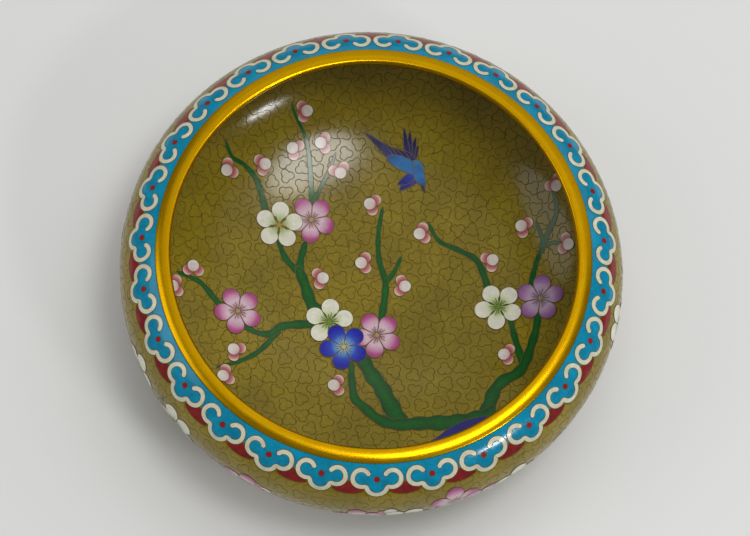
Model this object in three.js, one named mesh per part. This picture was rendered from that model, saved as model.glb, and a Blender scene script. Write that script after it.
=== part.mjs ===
// Cloisonne bowl: a low round bowl of copper sheet under enamel, whose wall turns in to a wide mouth,
// with a gilt ring brazed round the mouth and a gilt foot ring brazed under the base.
// Millimetres, +Z up, with the origin at the centre of the foot, on the surface that it stands on.
import * as THREE from "three";

// Vessel
const BODY_DIAMETER = 254; // across the belly, its widest line
const HEIGHT = 80; // from the table to the top of the wall at the mouth
const SHOULDER_HEIGHT = 25.5; // from the belly line up to the mouth
const BASE_LIFT = 4.5; // underside of the base above the table
const BASE_FULLNESS = 2.3; // exponent of the curve under the belly: 2 is an ellipse, more is squarer
const WALL = 2.4; // 1 mm of copper with 0.7 mm of enamel on each face

// Mouth ring
const MOUTH_DIAMETER = 201.3; // clear opening inside the ring
const MOUTH_RING_WIDTH = 8; // from the opening out to the enamel
const MOUTH_RING_THICKNESS = 3.2;
const MOUTH_RING_CROWN = 0.25; // how far the middle of its upper face stands above the edges

// Foot ring
const FOOT_DIAMETER = 129;
const FOOT_THICKNESS = 3.6;
const FOOT_BEAD_HEIGHT = 2.4; // upright band at the bottom edge
const FOOT_WAIST_DEPTH = 1.3; // how far the ring draws in above that band

// Joints and facets
const SEAM = 0.3; // brazed seam between the vessel and each ring
const SIDES = 80;
const LOWER_STEPS = 12;
const SHOULDER_STEPS = 8;
const RING_STEPS = 5;
const NOSE_STEPS = 5;

const bellyRadius = BODY_DIAMETER / 2;
const bellyHeight = HEIGHT - SHOULDER_HEIGHT;
const mouthRadius = MOUTH_DIAMETER / 2;
const lowerDepth = bellyHeight - BASE_LIFT;
const shoulderReach = bellyRadius - mouthRadius;

// A point (r, z) of the vessel's outer face with its outward normal (nr, nz).
// The angle runs from the centre of the base, at 0, to the belly line, at a quarter turn.
function lowerFace(angle) {
  const across = Math.max(Math.sin(angle), 0) ** (2 / BASE_FULLNESS);
  const down = Math.max(Math.cos(angle), 0) ** (2 / BASE_FULLNESS);
  const nr = across ** (BASE_FULLNESS - 1) / bellyRadius;
  const nz = -(down ** (BASE_FULLNESS - 1)) / lowerDepth;
  const size = Math.hypot(nr, nz);
  return { r: bellyRadius * across, z: bellyHeight - lowerDepth * down, nr: nr / size, nz: nz / size };
}

// The same above the belly line, where the angle runs from 0 at the belly to a quarter turn at the mouth.
function shoulderFace(angle) {
  const nr = Math.cos(angle) / shoulderReach;
  const nz = Math.sin(angle) / SHOULDER_HEIGHT;
  const size = Math.hypot(nr, nz);
  return {
    r: mouthRadius + shoulderReach * Math.cos(angle),
    z: bellyHeight + SHOULDER_HEIGHT * Math.sin(angle),
    nr: nr / size,
    nz: nz / size,
  };
}

const shoulderAngleAt = (radius) => Math.acos((radius - mouthRadius) / shoulderReach);
const lowerAngleAt = (radius) => Math.asin((radius / bellyRadius) ** (BASE_FULLNESS / 2));

// A face point moved out along its normal, as a profile point. A negative distance moves it into the wall.
const moved = (face, distance) => new THREE.Vector2(face.r + face.nr * distance, face.z + face.nz * distance);

const share = (from, to, step, steps) => from + ((to - from) * step) / steps;

// A solid of revolution about the z axis from a profile that runs anticlockwise in (r, z).
function revolved(name, profile, material) {
  const geometry = new THREE.LatheGeometry(profile, SIDES);
  geometry.rotateX(Math.PI / 2);
  const mesh = new THREE.Mesh(geometry, material);
  mesh.name = name;
  return mesh;
}

// The vessel: its outer face from the base to the lip, and back down the inner face.
function bowlBody(material) {
  const lipAngle = shoulderAngleAt(mouthRadius + MOUTH_RING_WIDTH);
  const faces = [];
  for (let i = 0; i < LOWER_STEPS; i++) faces.push(lowerFace(share(0, Math.PI / 2, i, LOWER_STEPS)));
  for (let i = 0; i <= SHOULDER_STEPS; i++) faces.push(shoulderFace(share(0, lipAngle, i, SHOULDER_STEPS)));
  const outer = faces.map((face) => moved(face, 0));
  const inner = faces.map((face) => moved(face, -WALL)).reverse();
  return revolved("bowl_body", [...outer, ...inner], material);
}

// The mouth ring: a flat band in line with the wall, with a crowned upper face and a round nose at the opening.
function mouthRing(material) {
  const half = MOUTH_RING_THICKNESS / 2;
  const start = shoulderAngleAt(mouthRadius + MOUTH_RING_WIDTH - SEAM);
  const end = shoulderAngleAt(mouthRadius + half);
  const bands = [];
  for (let i = 0; i <= RING_STEPS; i++) bands.push({ face: shoulderFace(share(start, end, i, RING_STEPS)), i });
  const upper = bands.map(({ face, i }) =>
    moved(face, half - WALL / 2 + MOUTH_RING_CROWN * Math.sin((Math.PI * i) / RING_STEPS)),
  );
  const lower = bands.map(({ face }) => moved(face, -half - WALL / 2)).reverse();
  const last = bands[RING_STEPS].face;
  const centre = moved(last, -WALL / 2);
  const nose = [];
  for (let i = 1; i < NOSE_STEPS; i++) {
    const turn = Math.atan2(last.nz, last.nr) + (Math.PI * i) / NOSE_STEPS;
    nose.push(new THREE.Vector2(centre.x + half * Math.cos(turn), centre.y + half * Math.sin(turn)));
  }
  return revolved("mouth_ring", [...upper, ...nose, ...lower, upper[0].clone()], material);
}

// The foot ring: a plain band at the table, a hollow waist above it, and a top edge cut to the underside.
function footRing(material) {
  const outside = FOOT_DIAMETER / 2;
  const inside = outside - FOOT_THICKNESS;
  const waist = outside - FOOT_WAIST_DEPTH;
  const top = moved(lowerFace(lowerAngleAt(outside)), SEAM);
  const topInside = moved(lowerFace(lowerAngleAt(inside)), SEAM);
  const waistHeight = (FOOT_BEAD_HEIGHT + top.y) / 2;
  const profile = [
    new THREE.Vector2(inside, 0),
    new THREE.Vector2(outside, 0),
    new THREE.Vector2(outside, FOOT_BEAD_HEIGHT),
    new THREE.Vector2(waist, waistHeight),
    top,
    topInside,
  ];
  return revolved("foot_ring", [...profile, profile[0].clone()], material);
}

const enamel = new THREE.MeshStandardMaterial({ color: 0x8a7a2c, roughness: 0.18, metalness: 0 });
const gilding = new THREE.MeshStandardMaterial({ color: 0xe0a41a, roughness: 0.3, metalness: 1 });

const bowl = new THREE.Group();
bowl.add(bowlBody(enamel), mouthRing(gilding), footRing(gilding));

export default bowl;
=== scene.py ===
"""A low cloisonne bowl: enamel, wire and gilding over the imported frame.

The artwork is drawn in millimetres on flat charts of the wall's two faces. What Blender gets is in metres.
"""

import math
from collections import namedtuple
from types import SimpleNamespace

import bpy
import numpy as np
from mathutils import Matrix, Vector
from mathutils.geometry import delaunay_2d_cdt


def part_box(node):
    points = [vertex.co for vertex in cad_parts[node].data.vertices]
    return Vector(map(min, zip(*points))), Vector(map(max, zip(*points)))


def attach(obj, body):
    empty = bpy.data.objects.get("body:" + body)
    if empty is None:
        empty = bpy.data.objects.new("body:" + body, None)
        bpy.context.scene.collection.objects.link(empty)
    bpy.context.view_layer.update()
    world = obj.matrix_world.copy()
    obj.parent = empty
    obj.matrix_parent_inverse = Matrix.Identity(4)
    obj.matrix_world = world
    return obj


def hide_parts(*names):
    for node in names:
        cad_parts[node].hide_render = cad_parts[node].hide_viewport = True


bl_info = {
    "name": "Cloisonne Bowl",
    "version": (1, 0, 0),
    "blender": (4, 5, 0),
    "location": "3D View > Sidebar > Bowl",
    "description": "Dresses the frame of a low bowl in cloisonne enamel and gilding",
    "category": "Add Mesh",
}

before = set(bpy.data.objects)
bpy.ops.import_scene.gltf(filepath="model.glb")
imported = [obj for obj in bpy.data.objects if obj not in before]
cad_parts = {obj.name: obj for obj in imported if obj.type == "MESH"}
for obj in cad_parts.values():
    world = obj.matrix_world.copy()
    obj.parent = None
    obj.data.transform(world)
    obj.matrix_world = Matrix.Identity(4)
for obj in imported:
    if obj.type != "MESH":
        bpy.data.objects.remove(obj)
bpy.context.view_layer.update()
MM = 0.001
BODY_BOX = [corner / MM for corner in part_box("bowl_body")]
FOOT_BOX = [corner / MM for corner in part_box("foot_ring")]
SHARP_EDGE = math.radians(35)


def linear(code):
    """An sRGB hex colour as linear red, green and blue."""
    parts = [int(code[i : i + 2], 16) / 255 for i in (1, 3, 5)]
    return tuple(c / 12.92 if c <= 0.04045 else ((c + 0.055) / 1.055) ** 2.4 for c in parts)


def length(name, millimetres, description):
    """A length that a user may change, given in millimetres."""
    return bpy.props.FloatProperty(
        name=name, description=description, default=millimetres * MM, unit="LENGTH", precision=5
    )


def colour(name, code, description):
    """A colour that a user may change, given as sRGB hex."""
    return bpy.props.FloatVectorProperty(
        name=name, description=description, default=linear(code), subtype="COLOR", min=0, max=1
    )


class BowlLengths(bpy.types.PropertyGroup):
    """The lengths of the bowl that its frame's boxes don't give, and those of its artwork."""

    height: length("Height", 80, "From the table to the top of the wall at the mouth")
    shoulder_height: length("Shoulder height", 25.5, "From the belly line up to the mouth")
    wall: length("Wall", 2.4, "Copper with enamel on each face")
    mouth_diameter: length("Mouth diameter", 201.3, "Clear opening inside the gilt ring")
    mouth_ring_width: length("Mouth ring width", 8, "From the opening out to the enamel")
    mouth_ring_thickness: length("Mouth ring thickness", 3.2, "Across the gilt band")
    mouth_ring_crown: length("Mouth ring crown", 0.25, "Rise of the middle of the band")
    mouth_ring_edge: length("Mouth ring edge", 0.3, "Length of the rounding at the band's outer edge")
    foot_thickness: length("Foot thickness", 3.6, "Across the foot ring")
    foot_bead: length("Foot bead", 2.4, "Upright band at the foot's bottom edge")
    foot_waist: length("Foot waist", 1.3, "How far the foot draws in above its bead")
    foot_rounding: length("Foot rounding", 0.7, "How far each edge of the foot is rounded")
    seam: length("Seam", 0.05, "Dark line where a ring meets the enamel")
    cell_pitch: length("Cell pitch", 9.0, "Between the middles of two wire cells of the ground")
    cell_radius: length("Cell radius", 3.0, "Mean radius of a wire cell")
    cell_wire: length("Cell wire", 0.46, "Width of the wire of the ground cells")
    motif_wire: length("Motif wire", 0.32, "Width of the wire round petals and branches")
    band_width: length("Band width", 2.45, "White band of a collar head")
    blossom: length("Blossom", 25.6, "Across an open blossom")


class BowlCounts(bpy.types.PropertyGroup):
    """The counts, turns and shares of the bowl and its artwork."""

    base_fullness: bpy.props.FloatProperty(
        name="Base fullness",
        description="Exponent of the curve under the belly, 2 for an ellipse",
        default=2.3,
    )
    sides: bpy.props.IntProperty(name="Sides", description="Facets round a turned piece", default=288)
    heads: bpy.props.IntProperty(name="Collar heads", description="Cloud heads round the collar", default=27)
    first_head: bpy.props.FloatProperty(
        name="First head",
        description="Turn of the first collar head from +X",
        default=math.radians(-0.95),
        unit="ROTATION",
    )
    lobe_depth: bpy.props.FloatProperty(
        name="Lobe depth", description="How deep the three lobes of a wire cell are, as a share", default=0.29
    )
    seed: bpy.props.IntProperty(name="Seed", description="Seed of everything set by eye", default=7)


class BowlColours(bpy.types.PropertyGroup):
    """The colours of the enamels and metals."""

    ground: colour("Ground", "#8a7706", "Mustard enamel of the ground")
    turquoise: colour("Turquoise", "#0088ab", "Enamel of the collar and the underside")
    cream: colour("Cream", "#d4d2b8", "White enamel of the collar's bands")
    maroon: colour("Maroon", "#84201f", "Enamel between the collar heads")
    red: colour("Red", "#9a1522", "Enamel of the collar's dots")
    cell_wire: colour("Cell wire", "#70601a", "Copper wire of the ground cells, darkened by firing")
    motif_wire: colour("Motif wire", "#574a20", "Copper wire of the motifs")
    gilding: colour("Gilding", "#f4bb0a", "Fire gilding of the rings")
    floor: colour("Floor", "#e9e9e7", "Pale card under the bowl")


def lengths():
    """Every length in millimetres."""
    group = bpy.context.scene.bowl_lengths
    return SimpleNamespace(**{name: getattr(group, name) / MM for name in BowlLengths.__annotations__})


def counts():
    """The counts, turns and shares."""
    return bpy.context.scene.bowl_counts


def colours():
    """The colours, as linear red, green and blue."""
    group = bpy.context.scene.bowl_colours
    return SimpleNamespace(**{name: tuple(getattr(group, name)) for name in BowlColours.__annotations__})


class Skin:
    """One face of the wall: radius, height and normal along its arc from the axis, in millimetres."""

    def __init__(self, points, normals):
        self.points = points
        self.normals = normals
        steps = np.hypot(*np.diff(points, axis=0).T)
        self.arc = np.concatenate([[0], np.cumsum(steps)])

    def at(self, arc, lift=0.0):
        """Radius and height at these arcs, lifted off the face."""
        flat = [np.interp(arc, self.arc, column) for column in (*self.points.T, *self.normals.T)]
        return flat[0] + lift * flat[2], flat[1] + lift * flat[3]

    def arc_at(self, radius, height=None):
        """The arc of the point of the face that is nearest to this radius and height."""
        gap = np.abs(self.points[:, 0] - radius)
        if height is not None:
            gap = np.hypot(gap, self.points[:, 1] - height)
        return self.arc[gap.argmin()]

    def lay(self, arc, turn, lift):
        """Points in metres at these arcs and turns, lifted off the face."""
        radius, height = self.at(arc, lift)
        return np.stack([radius * np.cos(turn), radius * np.sin(turn), height], -1) * MM


def ellipse_normals(points, reach, rise, power):
    """Unit normals of a superellipse quarter about its own centre."""
    slope = np.abs(points / (reach, rise)) ** (power - 1) / (reach, rise)
    return slope / np.hypot(*slope.T)[:, None] * np.sign((reach, rise))


def wall_faces():
    """The outer and the inner face of the wall, as the frame's formulas give them, and the belly's arc."""
    size, steps = lengths(), 700
    power = counts().base_fullness
    belly_radius, belly_height = BODY_BOX[1].x, size.height - size.shoulder_height
    mouth_radius = size.mouth_diameter / 2
    angle = np.linspace(0, math.pi / 2, steps)
    reach, drop = belly_radius, belly_height - BODY_BOX[0].z
    quarter = np.stack([reach * np.sin(angle) ** (2 / power), drop * np.cos(angle) ** (2 / power)], -1)
    quarter[0, 0] = quarter[-1, 1] = 0
    lower_normals = ellipse_normals(quarter, reach, drop, power) * (1, -1)
    lower = quarter * (1, -1) + (0, belly_height)
    inward = belly_radius - mouth_radius
    curve = np.stack([inward * np.cos(angle), size.shoulder_height * np.sin(angle)], -1)
    upper_normals = ellipse_normals(curve, inward, size.shoulder_height, 2)
    upper = curve + (mouth_radius, belly_height)
    points = np.concatenate([lower, upper[1:]])
    normals = np.concatenate([lower_normals, upper_normals[1:]])
    outer = Skin(points, normals)
    inner = Skin(points - normals * size.wall, -normals)
    belly = outer.arc[steps - 1]
    return SimpleNamespace(
        outer=outer, inner=inner, belly=belly, mouth_radius=mouth_radius, belly_radius=belly_radius
    )


class FloorChart:
    """A map of the inner face seen from above, true along every line from its middle."""

    def __init__(self, wall):
        self.skin = wall.inner

    def lay(self, flat, lift):
        """Points in metres for points of the map."""
        return self.skin.lay(np.hypot(*flat.T), np.arctan2(flat[:, 1], flat[:, 0]), lift)

    def spot(self, x, y):
        """Places a motif's own points round this spot at their true size."""
        arc = math.hypot(x, y)
        out = np.array([x, y]) / arc
        along = np.array([-out[1], out[0]])
        stretch = arc / self.skin.at(arc)[0]
        return lambda own: (x, y) + np.outer(own @ out, out) + np.outer(own @ along, along) * stretch


class BandChart:
    """A map of the outer face: x runs round the belly line and y up from it."""

    def __init__(self, wall):
        self.skin = wall.outer
        self.belly = wall.belly
        self.radius = wall.belly_radius

    def lay(self, flat, lift):
        """Points in metres for points of the map."""
        return self.skin.lay(self.belly + flat[:, 1], flat[:, 0] / self.radius, lift)

    def spot(self, x, y):
        """Places a motif's own points round this spot at their true size."""
        stretch = self.radius / self.skin.at(self.belly + y)[0]
        return lambda own: (x, y) + own * (stretch, 1)


# A flat shape: its points, its faces, the loops of its rims, and where each point lies along and across it
Patch = namedtuple("Patch", "points faces rims along across")


def smooth_path(corners, spacing=1.4, closed=False):
    """A smooth path through given corners, with points about a spacing apart."""
    corners = np.array(corners, float)
    if closed:
        before, after = corners[-1:], corners[:2]
    else:
        before, after = 2 * corners[:1] - corners[1:2], 2 * corners[-1:] - corners[-2:-1]
    padded = np.concatenate([before, corners, after])
    spans = len(corners) if closed else len(corners) - 1
    path = []
    for i in range(spans):
        a, b, c, d = padded[i : i + 4]
        steps = max(2, int(round(np.hypot(*(c - b)) / spacing)))
        t = np.arange(steps)[:, None] / steps
        bend = 2 * a - 5 * b + 4 * c - d
        twist = 3 * b - a - 3 * c + d
        path.append(0.5 * (2 * b + (c - a) * t + bend * t**2 + twist * t**3))
    if not closed:
        path.append(corners[-1:])
    return np.concatenate(path)


def arc_path(centre, radius, start, end, steps):
    """Points on a circle's arc, with its angles in degrees."""
    angle = np.radians(np.linspace(start, end, steps))
    return np.stack([np.cos(angle), np.sin(angle)], -1) * radius + centre


def left_of(path, closed):
    """Unit vectors to the left of each point of a path."""
    if closed:
        step = np.roll(path, -1, 0) - np.roll(path, 1, 0)
    else:
        step = np.gradient(path, axis=0)
    step /= np.hypot(*step.T)[:, None]
    return np.stack([-step[:, 1], step[:, 0]], -1)


def ribbon(path, half, columns=2, closed=False):
    """A strip along a path. Half of its width is one value or one for each point."""
    rows, across = len(path), np.linspace(-1, 1, columns)
    halves = np.broadcast_to(half, rows)[:, None, None]
    offsets = left_of(path, closed)[:, None] * across[None, :, None] * halves
    points = (path[:, None] + offsets).reshape(-1, 2)
    index = np.arange(rows * columns).reshape(rows, columns)
    if closed:
        index = np.concatenate([index, index[:1]])
    faces = [
        (index[i, j], index[i + 1, j], index[i + 1, j + 1], index[i, j + 1])
        for i in range(len(index) - 1)
        for j in range(columns - 1)
    ]
    if closed:
        rims = [list(index[:-1, 0]), list(index[:-1, -1][::-1])]
    else:
        rims = [[*index[:, 0], *index[-1, 1:-1], *index[::-1, -1], *index[0, 1:-1][::-1]]]
    return Patch(points, faces, rims, np.repeat(np.linspace(0, 1, rows), columns), np.tile(across, rows))


def leaf(long, half_width, rows, columns):
    """A blade from the origin along +Y. half_width gives half its width at a share of its length."""
    share = (1 - np.cos(np.linspace(0, math.pi, rows + 1))) / 2
    across = np.linspace(-1, 1, columns)
    inner = share[1:-1]
    grid_x = half_width(inner)[:, None] * across
    grid_y = np.repeat(inner[:, None] * long, columns, 1)
    points = np.concatenate([[[0, 0]], np.stack([grid_x, grid_y], -1).reshape(-1, 2), [[0, long]]])
    index = np.arange(1, 1 + len(inner) * columns).reshape(len(inner), columns)
    tip = len(points) - 1
    faces = [(0, index[0, j + 1], index[0, j]) for j in range(columns - 1)]
    faces += [
        (index[i, j], index[i, j + 1], index[i + 1, j + 1], index[i + 1, j])
        for i in range(len(inner) - 1)
        for j in range(columns - 1)
    ]
    faces += [(index[-1, j], index[-1, j + 1], tip) for j in range(columns - 1)]
    rims = [[0, *index[:, -1], tip, *index[::-1, 0]]]
    along = np.concatenate([[0], np.repeat(inner, columns), [1]])
    return Patch(points, faces, rims, along, np.concatenate([[0], np.tile(across, len(inner)), [0]]))


def inside(points, outline):
    """Which of the points lie within a closed outline."""
    x, y = points[:, 0, None], points[:, 1, None]
    ax, ay = outline.T
    bx, by = np.roll(outline, -1, 0).T
    rise = np.where(by == ay, 1, by - ay)
    crosses = ((ay > y) != (by > y)) & (x < (bx - ax) * (y - ay) / rise + ax)
    return crosses.sum(1) % 2 == 1


def plate(outline, spacing):
    """A flat plate within a closed outline, with points inside it so that it can follow the wall's curve."""
    low, high = outline.min(0), outline.max(0)
    lines = [np.arange(low[i] + spacing / 2, high[i], spacing) for i in (0, 1)]
    grid = np.stack(np.meshgrid(*lines), -1).reshape(-1, 2)
    clear = np.hypot(*(grid[:, None] - outline[None]).transpose(2, 0, 1)).min(1) > spacing * 0.45
    grid = grid[clear & inside(grid, outline)]
    edges = [(i, (i + 1) % len(outline)) for i in range(len(outline))]
    given = [Vector(p) for p in np.concatenate([outline, grid])]
    found, _, faces, origin, _, _ = delaunay_2d_cdt(given, edges, [], 1, 1e-6)
    points = np.array([tuple(p) for p in found])
    where = {old: new for new, olds in enumerate(origin) for old in olds}
    rim = [where[i] for i in range(len(outline))]
    upward = [tuple(face if area_of(points[list(face)]) > 0 else face[::-1]) for face in faces]
    if area_of(outline) < 0:
        rim = rim[::-1]
    level = np.zeros(len(points))
    return Patch(points, upward, [rim], level, level)


def area_of(loop):
    """The signed area of a closed loop, positive when it runs anticlockwise."""
    x, y = loop.T
    return 0.5 * float(np.sum(x * np.roll(y, -1) - y * np.roll(x, -1)))


def turn_to(points, degrees):
    """Points turned about the origin, from pointing along +Y to pointing along this angle from +X."""
    angle = math.radians(degrees - 90)
    spin = np.array([[math.cos(angle), math.sin(angle)], [-math.sin(angle), math.cos(angle)]])
    return points @ spin


def fade(stops, share):
    """Linear colours between stops (share, hex), one for each share."""
    places = [stop[0] for stop in stops]
    shades = np.array([linear(stop[1]) for stop in stops])
    return np.stack([np.interp(share, places, shades[:, i]) for i in range(3)], -1)


class Inlay:
    """Closed slabs set in one face of the wall, which start inside it and end just over it."""

    ROOT = -0.25

    def __init__(self, chart):
        self.chart = chart
        self.points, self.faces, self.shades = [], [], []

    def slab(self, patch, lift, shade=(0, 0, 0), place=None):
        """Adds a patch as a slab, with its top at this lift, through a motif's placing."""
        flat = place(patch.points) if place else patch.points
        count, start = len(flat), sum(len(p) for p in self.points)
        self.points += [self.chart.lay(flat, lift), self.chart.lay(flat, self.ROOT)]
        self.faces += [tuple(start + i for i in face) for face in patch.faces]
        self.faces += [tuple(start + count + i for i in face[::-1]) for face in patch.faces]
        for rim in patch.rims:
            pairs = zip(rim, rim[1:] + rim[:1])
            self.faces += [(start + b, start + a, start + count + a, start + count + b) for a, b in pairs]
        self.shades += [np.broadcast_to(shade, (count, 3))] * 2

    def wire(self, path, lift, closed=False, place=None, width=None):
        """Adds a wire along a path."""
        self.slab(ribbon(path, (width or lengths().motif_wire) / 2, 2, closed), lift, place=place)

    def mesh(self, name):
        """Everything added so far as one mesh, with its shades as an attribute."""
        data = bpy.data.meshes.new(name)
        data.from_pydata(np.concatenate(self.points).tolist(), [], [tuple(map(int, f)) for f in self.faces])
        shades = data.attributes.new("shade", "FLOAT_VECTOR", "POINT")
        shades.data.foreach_set("vector", np.concatenate(self.shades).astype(np.float32).ravel())
        soften(data)
        return data


def soften(data):
    """Smooth shading, apart from sharp edges."""
    data.shade_smooth()
    data.set_sharp_from_angle(angle=SHARP_EDGE)


def turned(name, profile, sides, finish_of=None):
    """A mesh of revolution from a profile in millimetres that runs anticlockwise, radius first.

    finish_of gives each stretch between two profile points its material index."""
    turns = np.arange(sides) * 2 * math.pi / sides
    points, rings = [], []
    for radius, height in profile:
        if radius < 1e-6:
            rings.append([len(points)] * sides)
            points.append((0, 0, height * MM))
        else:
            rings.append(list(range(len(points), len(points) + sides)))
            points += [(radius * math.cos(t) * MM, radius * math.sin(t) * MM, height * MM) for t in turns]
    faces, finishes = [], []
    closed = profile[0][0] > 1e-6
    for i in range(len(rings) if closed else len(rings) - 1):
        low, high = rings[i], rings[(i + 1) % len(rings)]
        for j in range(sides):
            k = (j + 1) % sides
            corners = (low[j], low[k], high[k], high[j])
            faces.append(tuple(dict.fromkeys(corners)))
            finishes.append(finish_of[i] if finish_of else 0)
    data = bpy.data.meshes.new(name)
    data.from_pydata(points, [], faces)
    data.polygons.foreach_set("material_index", finishes)
    soften(data)
    return data


def rounded(corners, radius):
    """A closed profile whose corners are rounded."""
    path = []
    for i, corner in enumerate(corners):
        before, after = corners[i - 1] - corner, corners[(i + 1) % len(corners)] - corner
        reach = min(radius, 0.4 * np.hypot(*before), 0.4 * np.hypot(*after))
        start = corner + before / np.hypot(*before) * reach
        end = corner + after / np.hypot(*after) * reach
        for t in np.linspace(0, 1, 5):
            path.append((1 - t) ** 2 * start + 2 * t * (1 - t) * corner + t**2 * end)
    return np.array(path)


def piece(name, data, materials, slot, replaced=None):
    """A finished piece of the bowl, which rides with its one body."""
    made = bpy.data.objects.new(name, data)
    bpy.context.scene.collection.objects.link(made)
    if not data.materials:
        for material in materials:
            data.materials.append(material)
    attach(made, "root")
    if replaced:
        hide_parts(replaced)


def node(tree, kind, inputs=None, out=0, **settings):
    """Adds a node with its settings, gives each input a value or a link, and gives back one of its outputs.

    Where out is None it gives back the node itself."""
    made = tree.nodes.new(kind)
    for key, value in settings.items():
        setattr(made, key, value)
    for key, value in (inputs or {}).items():
        if isinstance(value, bpy.types.NodeSocket):
            tree.links.new(value, made.inputs[key])
        else:
            made.inputs[key].default_value = value
    return made if out is None else made.outputs[out]


def fresh_material(name):
    """An empty material, its tree, and its Object coordinates."""
    material = bpy.data.materials.new(name)
    material.use_nodes = True
    tree = material.node_tree
    tree.nodes.clear()
    return material, tree, node(tree, "ShaderNodeTexCoord", out="Object")


def surface(tree, inputs):
    """Ends a material's tree with its shader, which gets these inputs, and its output."""
    shader = node(tree, "ShaderNodeBsdfPrincipled", inputs)
    node(tree, "ShaderNodeOutputMaterial", {"Surface": shader}, None)


# How ragged the edges of patches are, as the roughness of their noise
PATCH_EDGE = 0.55


def patches(tree, place, size, detail, start, end, low, high):
    """Soft patches about this many millimetres across.

    Their value goes from low to high while the noise that they come from goes from start to end."""
    noise = {"Vector": place, "Scale": 1 / (size * MM), "Detail": detail, "Roughness": PATCH_EDGE}
    lumps = node(tree, "ShaderNodeTexNoise", noise, "Fac")
    spread = {"Value": lumps, "From Min": start, "From Max": end, "To Min": low, "To Max": high}
    return node(tree, "ShaderNodeMapRange", spread, "Result")


# Sizes of what shows in each finish, in millimetres, and colours as linear red, green and blue
GLASS_GRAIN = 1.6
PINHOLE = 0.75
PINHOLE_TONE = (0.02, 0.015, 0.01, 1)
STONING_ROLL = 18.0
STONING_DEPTH = 0.12
WEAR = 7.0
WIRE_GRAIN = 2.0
GILT_CLOUD = 9.0
GILT_SPECK = 1.1
GILT_SPECK_TONE = (0.12, 0.06, 0.01, 1)
GILT_MARK = 2.2
GILT_MARK_DEPTH = 0.02
CARD_CLOUD = 260.0


def enamel(name, base=None, mottle=0.16, cloud=14.0):
    """Opaque glass enamel, fired in its cells, stoned flush and polished.

    It gives a wet gloss over a colour that clouds a little where the glass ran thick or thin, with a few
    pinholes where gas came out in firing, and a faint roll from the stoning. Without a base it takes the
    painted shade."""
    material, tree, place = fresh_material(name)
    if base is None:
        base = node(tree, "ShaderNodeAttribute", out="Color", attribute_name="shade")
    thin = patches(tree, place, cloud, 3.0, 0.3, 0.7, 1.0 + mottle * 0.6, 1.0 - mottle)
    speckled = patches(tree, place, GLASS_GRAIN, 2.0, 0.35, 0.7, 1.0 - mottle * 0.4, 1.0 + mottle * 0.5)
    gloss = patches(tree, place, GLASS_GRAIN, 2.0, 0.3, 0.8, 0.1, 0.2)
    holes = patches(tree, place, PINHOLE, 1.0, 0.745, 0.79, 0.0, 0.35)
    roll = patches(tree, place, STONING_ROLL, 2.0, 0.0, 1.0, 0.0, 1.0)
    tone = node(tree, "ShaderNodeVectorMath", {0: base, "Scale": thin}, operation="SCALE")
    tone = node(tree, "ShaderNodeVectorMath", {0: tone, "Scale": speckled}, operation="SCALE")
    tone = node(tree, "ShaderNodeMix", {0: holes, 6: tone, 7: PINHOLE_TONE}, 2, data_type="RGBA")
    pit = node(tree, "ShaderNodeMapRange", {"Value": holes, "From Max": 0.3, "To Max": -0.15}, "Result")
    level = node(tree, "ShaderNodeMath", {0: roll, 1: pit}, operation="ADD")
    face = node(tree, "ShaderNodeBump", {"Height": level, "Strength": 0.35, "Distance": STONING_DEPTH * MM})
    surface(tree, {"Base Color": tone, "Roughness": gloss, "IOR": 1.5, "Normal": face})
    return material


def fired_wire(name, base):
    """Copper wire ground flush with the enamel and darkened by firing, which keeps a dull metal gleam."""
    material, tree, place = fresh_material(name)
    bare = (*(min(1.0, c * 2.1) for c in base), 1)
    worn = patches(tree, place, WEAR, 3.0, 0.35, 0.7, 0.0, 0.5)
    tone = node(tree, "ShaderNodeMix", {0: worn, 6: (*base, 1), 7: bare}, 2, data_type="RGBA")
    dull = patches(tree, place, WIRE_GRAIN, 3.0, 0.3, 0.7, 0.28, 0.5)
    surface(tree, {"Base Color": tone, "Metallic": 0.3, "Roughness": dull})
    return material


def fire_gilding(name, base):
    """Brass rubbed smooth and gilded: a deep yellow satin with fine marks round the ring and a few specks."""
    material, tree, place = fresh_material(name)
    parts = node(tree, "ShaderNodeSeparateXYZ", {"Vector": place}, None).outputs
    turn = node(tree, "ShaderNodeMath", {0: parts["Y"], 1: parts["X"]}, operation="ARCTAN2")
    flat = node(tree, "ShaderNodeCombineXYZ", {"X": parts["X"], "Y": parts["Y"]})
    radius = node(tree, "ShaderNodeVectorMath", {0: flat}, "Value", operation="LENGTH")
    # The marks are drawn out to about 11 mm round the ring, and squeezed to about 0.25 mm across and up it
    drawn = {
        axis: node(tree, "ShaderNodeMath", {0: value, 1: factor}, operation="MULTIPLY")
        for axis, value, factor in (("X", turn, 0.02), ("Y", radius, 9.0), ("Z", parts["Z"], 9.0))
    }
    lines = node(tree, "ShaderNodeCombineXYZ", drawn)
    marks = patches(tree, lines, GILT_MARK, 4.0, 0.0, 1.0, 0.0, 1.0)
    satin = patches(tree, lines, GILT_MARK, 4.0, 0.3, 0.7, 0.2, 0.32)
    clouds = patches(tree, place, GILT_CLOUD, 3.0, 0.35, 0.7, 0.0, 0.22)
    specks = patches(tree, place, GILT_SPECK, 1.0, 0.735, 0.78, 0.0, 0.6)
    ruddy = (*(c * f for c, f in zip(base, (0.8, 0.6, 0.4))), 1)
    tone = node(tree, "ShaderNodeMix", {0: clouds, 6: (*base, 1), 7: ruddy}, 2, data_type="RGBA")
    tone = node(tree, "ShaderNodeMix", {0: specks, 6: tone, 7: GILT_SPECK_TONE}, 2, data_type="RGBA")
    face = node(tree, "ShaderNodeBump", {"Height": marks, "Strength": 0.12, "Distance": GILT_MARK_DEPTH * MM})
    surface(tree, {"Base Color": tone, "Metallic": 1.0, "Roughness": satin, "Normal": face})
    return material


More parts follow.
